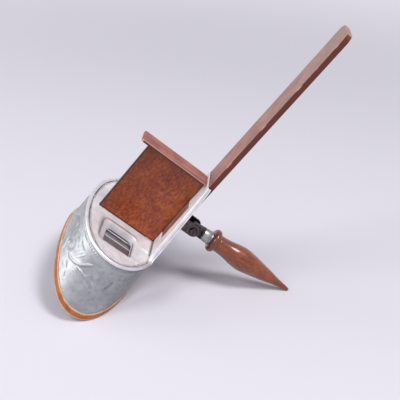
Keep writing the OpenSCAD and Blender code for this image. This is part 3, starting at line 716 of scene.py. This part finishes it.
def make_bead():
    """The rolled edge: a circle carried round the seam."""
    columns, sides = 480, 20
    a = np.arange(columns) * 360 / columns
    b = np.arange(sides) * 2 * pi / sides
    y, z = seam(a)
    centre = np.stack([np.full_like(y, BEAD_X), y, z], -1)
    out, ahead = (BEAD_R - 0.02) * np.sin(b)[:, None], (BEAD_R - 0.02) * np.cos(b)[:, None]
    points = centre[:, None] + out * seam_normal(a)[:, None] + ahead * np.array([1.0, 0, 0])
    # Painted contact shade, with dirt: a dark band on the bead's inner side, facing the plate.
    hollow = 0.7 * np.exp(-((b - 1.5 * pi) / 0.5) ** 2) + 0 * y[:, None]
    piece("rolled_bead", points, grid(columns, sides, closed=True, looped=True), "embossed_aluminium",
          ("plate_bead",), "rolled_aluminium", hollow=hollow)


# ---------------------------------------------------------------- lens plate
EYE_GAP, OPEN_W, OPEN_H, OPEN_Z, OPEN_R = 64.5, 35.5, 37.5, 36.0, 6.0
WINDOW_W, WINDOW_H, WINDOW_Z, WINDOW_R, COLLAR_D = 33.0, 28.8, 33.0, 5.0, 7.8
BEND_LIP, PLATE_SHEET_T, UNDER_BEAD, BEAD_RAYS, MIDDLE_RAYS = 1.5, 0.8, 0.55, 151, 91
# Painted reflection lines: thin bright rods in front of each glass that stand for light reflected in the
# lenses.
REFLECTION_LINES_Y, REFLECTION_LINE_X, REFLECTION_LINE_R, REFLECTION_LINE_FROM, REFLECTION_LINE_TO = (-19.2, -28.5, 19.2, 28.5), -7.3, 0.42, 18.9, 47.2
REFLECTION_LINE_SIDES, REFLECTION_LINE_TURN = 10, radians(159.5)


def rounded_reach(angle, w, h, r):
    """How far a rounded rectangle's outline lies from its centre at each angle: the nearer side, or the
    corner's circle where the ray passes through a corner."""
    c, s = np.abs(np.cos(angle)), np.abs(np.sin(angle))
    flat = np.minimum(w / 2 / np.maximum(c, 1e-9), h / 2 / np.maximum(s, 1e-9))
    cy, cz = w / 2 - r, h / 2 - r
    corner = (flat * c > cy) & (flat * s > cz)
    b = c * cy + s * cz
    return np.where(corner, b + np.sqrt(np.maximum(b * b - (cy * cy + cz * cz - r * r), 0)), flat)


def make_plate():
    """The lens plate: round each eye, rays run from the rear window up the drawn collar, over its bend
    and across the flat to the bead, or to the middle line."""
    fine = np.arange(0, 360, 0.05)
    oy, oz = seam(fine)
    n = seam_normal(fine)
    oy, oz = oy - (BEAD_R - UNDER_BEAD) * n[:, 1], oz - (BEAD_R - UNDER_BEAD) * n[:, 2]
    top, low = (atan2(np.interp(a, fine, oz) - OPEN_Z, -EYE_GAP / 2) for a in (90, 270))
    angle = np.concatenate([np.linspace(low, top, BEAD_RAYS),
                            np.linspace(top, low + 2 * pi, MIDDLE_RAYS)[1:-1]])
    number = np.arange(len(angle))
    at_bead = (number < BEAD_RAYS).astype(float)
    to_middle = EYE_GAP / 2 / np.maximum(-np.cos(angle), 1e-6)
    eye_reach = rounded_reach(angle, OPEN_W, OPEN_H, OPEN_R)[:, None]
    back_reach = rounded_reach(angle, WINDOW_W, WINDOW_H, WINDOW_R)[:, None]
    inwards = np.clip(1.8 * np.maximum(-np.cos(angle), np.sin(angle)) - 0.6, 0, 1)
    below = np.clip(-2.5 * np.sin(angle) - 1.2, 0, 1)
    sides = []
    for side in (-1, 1):
        away, above = side * oy - EYE_GAP / 2, oz - OPEN_Z
        to_bead = np.interp(angle, np.arctan2(above, away), np.hypot(above, away), period=2 * pi)
        outline = np.where((number > 0) & (number < BEAD_RAYS - 1), to_bead, to_middle)
        ray = np.stack([np.zeros_like(angle), side * np.cos(angle), np.sin(angle)], -1)
        eye = np.array([0, side * EYE_GAP / 2, OPEN_Z])
        window = np.array([-COLLAR_D, side * EYE_GAP / 2, WINDOW_Z]) + back_reach * ray
        mouth = eye + eye_reach * ray
        rings = [window + s * (mouth - window) for s in (0, 0.12, 0.3, 0.55, 0.72)]
        start, stop = mouth + BEND_LIP * unit(window - mouth), mouth + BEND_LIP * ray
        for s in np.linspace(0, 1, 7):
            rings.append((1 - s) ** 2 * start + 2 * s * (1 - s) * mouth + s * s * stop)
        for s in (0.12, 0.3, 0.5, 0.7, 0.85, 0.93):
            rings.append(stop + s * (outline[:, None] - eye_reach - BEND_LIP) * ray)
        for inset, drop in ((1.9, 0.0), (1.2, 0.10), (0.75, 0.30), (0.4, 0.42), (0.0, 0.45)):
            rings.append(eye + (outline - inset * at_bead)[:, None] * ray
                         - np.array([1.0, 0, 0]) * (drop * at_bead)[:, None])
        # Painted shade on the plate: the collar's rear edge, a dark line across its lower wall, its bend on
        # the middle and upper sides, and a contact line, with dirt, where the flat meets the bead.
        shade = np.zeros((len(rings), len(angle)))
        shade[0] = 0.6 * (1 - below)
        shade[1:4] = np.array([0.1, 0.9, 0.35])[:, None] * below
        shade[7:13] = 0.75 * np.array([0.3, 0.7, 0.9, 1.0, 0.9, 0.5])[:, None] * inwards
        shade[-5:] = np.array([0.3, 0.9, 1.0, 1.0, 1.0])[:, None] * at_bead
        sides.append((np.concatenate(rings), grid(*shade.shape, closed=True), shade.ravel()))
    points, faces, hollow = joined(sides)
    made = piece("lens_plate_sheet", points, faces, "pale_aluminium", ("lens_plate",), weld=2e-5,
                 facing=FORWARD, hollow=hollow)
    thicken(made, PLATE_SHEET_T)


def make_lens_reflection_lines():
    """Two upright thin round rods in front of each glass, from the collar's lower wall to its upper wall:
    painted reflection lines standing for light reflected in the lenses.
    """
    z = np.linspace(REFLECTION_LINE_FROM, REFLECTION_LINE_TO, 5)[:, None]
    b = REFLECTION_LINE_TURN + np.arange(REFLECTION_LINE_SIDES) * 2 * pi / REFLECTION_LINE_SIDES
    points, faces = joined([capped(np.stack([REFLECTION_LINE_X + REFLECTION_LINE_R * np.cos(b) + 0 * z,
        y + REFLECTION_LINE_R * np.sin(b) + 0 * z, z + 0 * b], -1)) for y in REFLECTION_LINES_Y])
    piece("lens_reflection_lines", points, faces, "frame_aluminium", finish="painted_reflection_line", weld=1e-7)


# ---------------------------------------------------------------- rail bracket
BRACKET_L, BRACKET_W, SKIRT_REAR, SKIRT_FRONT = 89.0, 64.0, 5.8, 4.0
BEND_R, FLANGE_H, FLANGE_SLANT, FLARE_R = 2.0, 10.0, 4.0, 8.0
BRACKET_FRONT = RAIL_W / 2 + 0.1 + SHEET_T
FLANGE_HALF = BRACKET_W / 2 - 4
WINDOW_FROM, WINDOW_TO, SLOT_HALF = 15.0, BRACKET_L - 30, RAIL_W / 2 - 1
SEPTUM_T = 4.2
SHOULDER_W, SHOULDER_H, HEM_H, SIDE_W = 1.9, 1.7, 1.3, 5.2
NOTCH_X, NOTCH_SLANT = 1.9, 0.55


def bracket_half(x):
    """Half width in plan: it narrows with the square root of what is left of the length, and flares in a
    quarter circle where it meets the plate."""
    wide = BRACKET_FRONT + (BRACKET_W / 2 - BRACKET_FRONT) * np.sqrt(np.clip(1 - x / BRACKET_L, 0, 1))
    root = np.clip(FLARE_R - x, 0, FLARE_R)
    return wide + FLARE_R - np.sqrt(FLARE_R ** 2 - root ** 2)


def bracket_middle(x, inner):
    """The middle of the bracket's sheet, as points, faces and painted shade: rows of constant width run down
    the flange, round the bend's quarter circle, along the flat and up the front lip."""
    up = np.linspace(FLANGE_H, BEND_R, 5)[:-1]
    bend = np.linspace(pi / 2, 0, 7)[:-1]
    inside = BEND_R - SHEET_T
    lip_x, lip_z = [BRACKET_L - 0.05, BRACKET_L, BRACKET_L], [0.25, 0.6, 1.0]
    bx = np.concatenate([SHEET_T + 0 * up, BEND_R - inside * np.sin(bend), x, lip_x])
    bz = np.concatenate([up, BEND_R - inside * np.cos(bend), SHEET_T + 0 * x, SHEET_T + np.array(lip_z)])
    leaning = FLANGE_HALF - FLANGE_SLANT * (up - BEND_R) / (FLANGE_H - BEND_R)
    wide = np.concatenate([leaning, FLANGE_HALF + 0 * bend, inner, [RAIL_W / 2] * 3])
    slot = SEPTUM_T / 2 + 0.1
    fixed = np.array([0, slot, 6, 10, 13, SLOT_HALF])
    share = np.array([0.05, 0.25, 0.5, 0.75, 1.0])
    right = np.concatenate([np.broadcast_to(fixed, (len(bx), 6)),
                            SLOT_HALF + share[None, :] * (wide[:, None] - SLOT_HALF)], 1)
    y = np.concatenate([-right[:, :0:-1], right], 1)
    points = np.stack([bx[:, None] + 0 * y, y, bz[:, None] + 0 * y], -1).reshape(-1, 3)
    faces = grid(*y.shape)
    at = points[faces].mean(1)
    hole = (np.abs(at[:, 1]) < SLOT_HALF) & (at[:, 0] > WINDOW_FROM) & (at[:, 0] < WINDOW_TO)
    hole |= (np.abs(at[:, 1]) < slot) & (at[:, 0] < BEND_R)
    # Painted shade in the crease of the bend, and a painted shadow along the window's cut edges.
    crease = np.hypot(bx - SHEET_T - 0.3, bz - SHEET_T - 0.3)
    shading = np.exp(-(crease / 1.3) ** 2)[:, None] + 0 * y
    shading[(bx > WINDOW_FROM - 1) & (bx < WINDOW_TO + 1)] += 0.8 * (np.abs(y[0]) == SLOT_HALF)
    return points, faces[~hole], shading.ravel()


def bracket_side(x, inner, side):
    """One side of the bracket's sheet: a section of (distance from the edge, height, painted shade) carried
    along the edge, with a groove, a quarter-round shoulder, a skirt and its hem. A notch parts it from the
    flange."""
    sx = np.concatenate([np.linspace(0.2, BEND_R, 8)[:-1], x])
    si = np.concatenate([np.full(7, FLANGE_HALF), inner])
    sh = bracket_half(sx)
    squeeze = np.minimum(1, (sh - si) / SIDE_W)
    skirt = SKIRT_REAR + (SKIRT_FRONT - SKIRT_REAR) * sx / BRACKET_L - 1.4 * np.clip(1 - sx / 9, 0, 1) ** 2
    turn = np.linspace(0, pi / 2, 8)
    # The third column is painted shade: in the groove and at the hem's folds.
    flat = [(-4.5, 0, 0), (-4.2, -0.2, 0.8), (-3.95, -0.3, 1), (-3.7, -0.2, 0.8), (-3.4, 0, 0),
            (-2.6, 0.02, 0)]
    shoulder = [(-SHOULDER_W * (1 - sin(v)), -SHOULDER_H * (1 - cos(v)), 0) for v in turn]
    hem = [(0.0, HEM_H + 0.1, 0.5), (0.34, 0.95, 0), (0.5, 0.55, 0), (0.34, 0.15, 0), (0.02, 0.0, 0.4)]
    section = [(si, SHEET_T + 0 * sx, 0), (0.5 * si + 0.5 * (sh - SIDE_W * squeeze), SHEET_T + 0 * sx, 0)]
    section += [(sh + out * squeeze, SHEET_T + rise * squeeze, shade_depth) for out, rise, shade_depth in flat + shoulder]
    section += [(sh + out * squeeze, SHEET_T - skirt + rise, shade_depth) for out, rise, shade_depth in hem]
    y, z, shading = zip(*section)
    y, z = np.stack(y, 1), np.stack(z, 1)
    notch = NOTCH_X - NOTCH_SLANT * (y - FLANGE_HALF)
    along = np.maximum(sx[:, None], np.where(z > SHEET_T - 0.5, notch, 0))
    # Painted shade where the side meets the plate, at its rear end.
    shading = np.array(shading)[None, :] + np.exp(-sx[:, None] ** 2) * (y < FLANGE_HALF + 4)
    return np.stack([along, side * y, z], -1).reshape(-1, 3), grid(*y.shape)[:, ::side], shading.ravel()


def make_bracket():
    """The bracket's sheet in one piece: its middle and both sides, thickened inwards."""
    x = BEND_R + (BRACKET_L - 0.2 - BEND_R) * (1 - (1 - np.linspace(0, 1, 60)) ** 1.6)
    x = np.unique(np.concatenate([x, [WINDOW_FROM, WINDOW_TO]]))
    edge_gap = SIDE_W + (1.2 - SIDE_W) * np.clip((x - 72) / 15, 0, 1)
    inner = np.minimum(FLANGE_HALF, bracket_half(x) - edge_gap)
    points, faces, shading = joined([bracket_middle(x, inner), bracket_side(x, inner, -1),
                                   bracket_side(x, inner, 1)])
    made = piece("bracket_sheet", points, faces, "pale_aluminium", ("rail_bracket",), weld=2e-5,
                 facing=UP, hollow=shading)
    thicken(made, SHEET_T - 0.05)


# ---------------------------------------------------------------- handle
PIVOT_X, PIVOT_DROP, HANDLE_LEAN = 38.5, 14.6, radians(2.2)
PIVOT_Z = -RAIL_T - PIVOT_DROP
HANDLE_L, GRIP_D, NECK_D, RING_D, FERRULE_D, FERRULE_L = 116.2, 23.4, 17.2, 23.8, 13.8, 9.5
FERRULE_FROM, FERRULE_T, RING_R, TIP_R = 10.7, 0.8, 3.9, 1.7
FERRULE_TO = FERRULE_FROM + FERRULE_L
RING_S = FERRULE_TO + RING_R - 0.1


def turned(name, profile, slot, node, sides=96, shaded_rows=0):
    """A profile of (distance below the hinge pin, radius) spun round the handle's axis and closed at both
    ends. Its first points may be painted dark, as painted shade."""
    s, r = np.asarray(profile, float).T[:, :, None]
    angle = np.arange(sides) * 2 * pi / sides
    x, y, z = r * np.cos(angle), r * np.sin(angle), -s + 0 * angle
    points = np.stack([PIVOT_X + x * cos(HANDLE_LEAN) - z * sin(HANDLE_LEAN), y,
                       PIVOT_Z + x * sin(HANDLE_LEAN) + z * cos(HANDLE_LEAN)], -1)
    hollow = (np.arange(len(profile)) < shaded_rows)[:, None] + 0 * angle
    piece(name, points, grid(len(profile), sides, closed=True), slot, (node,), body="handle", weld=2e-6,
          hollow=hollow)


def make_handle():
    """The turned grip, from the ring under its ferrule to its tip, and the ferrule."""
    neck, grip, ring_foot = NECK_D / 2, GRIP_D / 2, RING_S + RING_R
    shares = [(0.35, neck + 0.8), (0.43, grip - 0.6), (0.51, grip), (0.6, grip - 1.4), (0.69, grip - 3.4),
              (0.78, grip - 5.4), (0.86, grip - 7.5), (0.94, grip - 9)]
    belly = curve([(RING_S + 3.6, neck + 0.2), (RING_S + 8, neck), *[(s * HANDLE_L, r) for s, r in shares],
                   (HANDLE_L - TIP_R, TIP_R)], 8)
    belly = belly[belly[:, 0] > ring_foot + 0.8]
    b = np.radians(np.linspace(-80, 80, 17))
    ring = np.stack([RING_S + RING_R * np.sin(b), RING_D / 2 - RING_R + RING_R * np.cos(b)], -1)
    top = [(FERRULE_TO, 0.0), (FERRULE_TO, RING_D / 2 - RING_R - 0.2)]
    groove = [(ring_foot - 0.05, neck - 0.5), (ring_foot + 0.5, neck - 0.2)]
    tip_angles = np.radians(np.linspace(15, 90, 7))
    tip = np.stack([HANDLE_L - TIP_R + TIP_R * np.sin(tip_angles), TIP_R * np.cos(tip_angles)], -1)
    profile = np.concatenate([top, ring, groove, belly, tip])
    turned("turned_grip", profile, "turned_wood", "handle_grip", 128)
    side = FERRULE_D / 2
    top, bore = side - 0.55, 2.25
    ferrule = [(FERRULE_FROM + FERRULE_T, bore), (FERRULE_FROM, bore), (FERRULE_FROM, top - 0.5),
        (FERRULE_FROM + 0.12, top - 0.15), (FERRULE_FROM + 0.5, top), (FERRULE_FROM + 3, side - 0.38),
        (FERRULE_TO - 1.6, side - 0.12), (FERRULE_TO - 1.3, side - 0.3), (FERRULE_TO - 1.0, side - 0.05),
        (FERRULE_TO - 0.3, side), (FERRULE_TO, side - 0.2), (FERRULE_TO, side - FERRULE_T),
        (FERRULE_FROM + FERRULE_T, top - FERRULE_T), (FERRULE_FROM + FERRULE_T, bore)]
    # The ferrule's first four profile points, its upper end face and chamfer, take painted shade.
    turned("nickel_ferrule", ferrule, "nickel", "handle_ferrule", shaded_rows=4)


# ---------------------------------------------------------------- rail and end strip
RAIL_FROM, RAIL_CORNER, END_TOP, END_UNDER, SCREW_PROUD, BULGE = 1.55, 8.0, 1.6, 1.2, 0.1, 1.6
END_MARK, ARRIS_STEPS = 1.4, 6
STRIP_FROM, STRIP_T, STRIP_W, STRIP_TOP, STRIP_CORNER, STRIP_ARRIS = 84.0, 2.2, 22.0, 74.9, 3.4, 0.55


def drawn_in(left, radius):
    """How far a quarter round of this radius draws a surface in, with this length left to its end."""
    return radius - np.sqrt(radius ** 2 - np.clip(radius - left, 0, radius) ** 2)


def make_rail():
    """The rail: a section with four rounded edges carried forward and drawn in at the worn end. The
    edge nearer the light is rubbed away in places, by a sum of three sines."""
    tip = RAIL_REACH + BULGE
    x = np.concatenate([np.linspace(RAIL_FROM, tip - RAIL_CORNER, 240),
                        tip - RAIL_CORNER * (1 - np.sin(np.linspace(0, pi / 2, 20)[1:]))])
    left = tip - x
    half = RAIL_W / 2 - drawn_in(left, RAIL_CORNER)
    top = -drawn_in(left, END_TOP)
    low = SCREW_PROUD - RAIL_T + drawn_in(left, END_UNDER)
    wear = np.sin(x / 8.3) + np.sin(x / 3.7 + 1.0) + 0.6 * np.sin(x / 1.9 + 2.0)
    worn = 0.4 + 1.3 * np.clip(wear - 0.6, 0, 1.2)
    turn = np.linspace(0, pi / 2, ARRIS_STEPS)
    round_off = [(0, 1, 0, 1, 1), *[(1 - cos(v), 1 - sin(v), 0, 0, cos(v)) for v in turn], (1, 0, 1, 0, 0)]
    y, z, mark = [], [], []
    for side_y, side_z in ((1, 1), (-1, 1), (-1, -1), (1, -1)):
        thick = top - low
        radius = np.minimum(worn if (side_y, side_z) == (-1, 1) else 0.5, 0.3 * thick)
        face = top if side_z > 0 else low
        for a, b, c, d, edge in round_off[::side_y * side_z]:
            y.append(side_y * (half - a * radius - 1.2 * c))
            z.append(face - side_z * (b * radius + d * np.minimum(0.6, 0.15 * thick)))
            mark.append(edge)
    y, z = np.stack(y, 1), np.stack(z, 1)
    points, faces = capped(np.stack([x[:, None] + 0 * y, y, z], -1))
    # The mark is one on the side faces, falls to nought over the rounded arris and fades at the end: it
    # places the painted shade and the painted highlight.
    piece("rail_bar", points, faces, "rail_wood", ("rail",), weld=2e-6,
          hollow=np.array(mark) * np.clip((tip - points[..., 0]) / END_MARK, 0, 1))


def make_strip():
    """The end strip: a rounded rectangle carried across its thickness, with rounded arrises."""
    turn = np.linspace(0, pi / 2, ARRIS_STEPS)
    over = STRIP_ARRIS * (1 - np.sin(turn))
    depth = STRIP_ARRIS * (1 - np.cos(turn))
    inset = np.concatenate([[STRIP_ARRIS + 0.8], over, over[::-1], [STRIP_ARRIS + 0.8]])
    x = np.concatenate([[0], depth, STRIP_T - depth[::-1], [STRIP_T]])
    around = np.linspace(0, pi / 2, 9)
    half, rise = STRIP_W / 2, (STRIP_TOP - SHEET_T) / 2
    middle = (STRIP_TOP + SHEET_T) / 2
    rings = []
    for step, gone in zip(x, inset):
        r = STRIP_CORNER - gone
        corner = [(sy * (half - STRIP_CORNER) + r * np.cos(around + a),
                   sz * (rise - STRIP_CORNER) + r * np.sin(around + a))
                  for sy, sz, a in ((1, 1, 0), (-1, 1, pi / 2), (-1, -1, pi), (1, -1, 1.5 * pi))]
        y, z = (np.concatenate([c[i] for c in corner]) for i in (0, 1))
        rings.append(np.stack([STRIP_FROM + step + 0 * y, y, middle + z], -1))
    points, faces = capped(rings)
    piece("end_strip", points, faces, "rail_wood", ("septum_end_strip",), "strip_wood", weld=2e-6)


# ---------------------------------------------------------------- the whole viewer
# In order: painted shade; a darker brown, also painted shade on the grip's ring; painted shade on the rail's
# side faces; pale worn wood painted as a highlight along arrises.
SHADOW_STAIN, DEEP_BROWN = rgb(44, 18, 12), rgb(92, 36, 28)
SIDE_SHADE, ARRIS_WEAR_AND_HIGHLIGHT = rgb(90, 25, 12), rgb(214, 156, 132)
for make in (embossed_aluminium, pale_aluminium, rolled_aluminium, frame_aluminium, painted_reflection_line,
             lens_glass, cloth_binding, nickel):
    make()
# Septum: darker towards the top and the front, and along its top edge; painted contact shade at its foot on
# the rail and at its rear edge against the plate.
wood("septum_wood", rgb(122, 46, 32), rgb(158, 75, 43), rgb(192, 104, 50), (0.2, 0.5, 0.4), 0.04,
     gloss=0.34, coat=0.2, pored=0.9,
     shade_and_tint_bands=(("Z", 40, 66, 0.0, 0.5, DEEP_BROWN), ("X", 54, 88, 0.0, 0.4, DEEP_BROWN),
             ("Z", 63.8, 64.3, 0.0, 0.8, SHADOW_STAIN), ("Z", 0.9, 2.6, 1.0, 0.0, SHADOW_STAIN),
             ("X", 0.9, 2.0, 0.9, 0.0, SHADOW_STAIN)))
# End strip: a pale line painted as a highlight near each long edge, and painted shade on its side edges.
wood("strip_wood", rgb(108, 50, 40), rgb(154, 84, 69), rgb(190, 119, 101), (0.5, 0.5, 0.014), 0.05,
     gloss=0.36, coat=0.3, pored=1.7,
     shade_and_tint_bands=(("Y", 8.9, 9.4, 0.0, 0.75, ARRIS_WEAR_AND_HIGHLIGHT), ("Y", 10.55, 10.8, 0.0, 0.9, SHADOW_STAIN)))
# Rail: greyer towards its free end; pale worn wood painted as a highlight over the rounded arrises, and
# painted shade on the side faces.
wood("rail_wood", rgb(108, 60, 48), rgb(153, 95, 78), rgb(190, 130, 107), (0.012, 0.5, 0.5), 0.05,
     gloss=0.36, coat=0.3, pored=1.9,
     shade_and_tint_bands=(("X", 110, 270, 0.0, 0.5, rgb(148, 126, 116)), ("edge", 0.02, 0.25, 0.0, 0.5, ARRIS_WEAR_AND_HIGHLIGHT),
             ("edge", 0.75, 0.95, 0.0, 0.94, SIDE_SHADE)))
# Grip: the ring's side towards the ferrule is darkened, painted shade with grime.
wood("turned_wood", rgb(112, 46, 15), rgb(136, 61, 20), rgb(158, 77, 28), (0.35, 0.35, 0.07), 0.06,
     gloss=0.28, coat=1.0, pored=0.35, handle=True, shade_and_tint_bands=(("Z", 25, 29, 0.55, 0.0, DEEP_BROWN),))
blackened("dark_steel", rgb(66, 58, 60), rgb(104, 94, 92), 0.24)
blackened("screw_steel", rgb(110, 108, 104), rgb(168, 166, 160), 0.28)

make_camera()
make_studio()
make_hood()
make_binding()
make_bead()
make_plate()
make_lens_reflection_lines()
make_bracket()
make_handle()
make_rail()
make_strip()
for entry in (("septum_board", "septum", 0.35, "viewer", "septum_wood"),
              ("hinge_bracket", "hinge_plate", 0.4, "viewer", "dark_steel"),
              ("hinge_pin", "pivot_screw", 0.4, "viewer", "dark_steel"),
              ("handle_tongue", "tongue", 0.35, "handle", "dark_steel")):
    eased_copy(*entry)
for entry in frame["record"]["subparts"]:
    node = frame["nodes"][entry["node"]]
    node.data.materials.clear()
    node.data.materials.append(FINISH[entry["material_slot"]])

bpy.context.scene.view_settings.view_transform = "Standard"
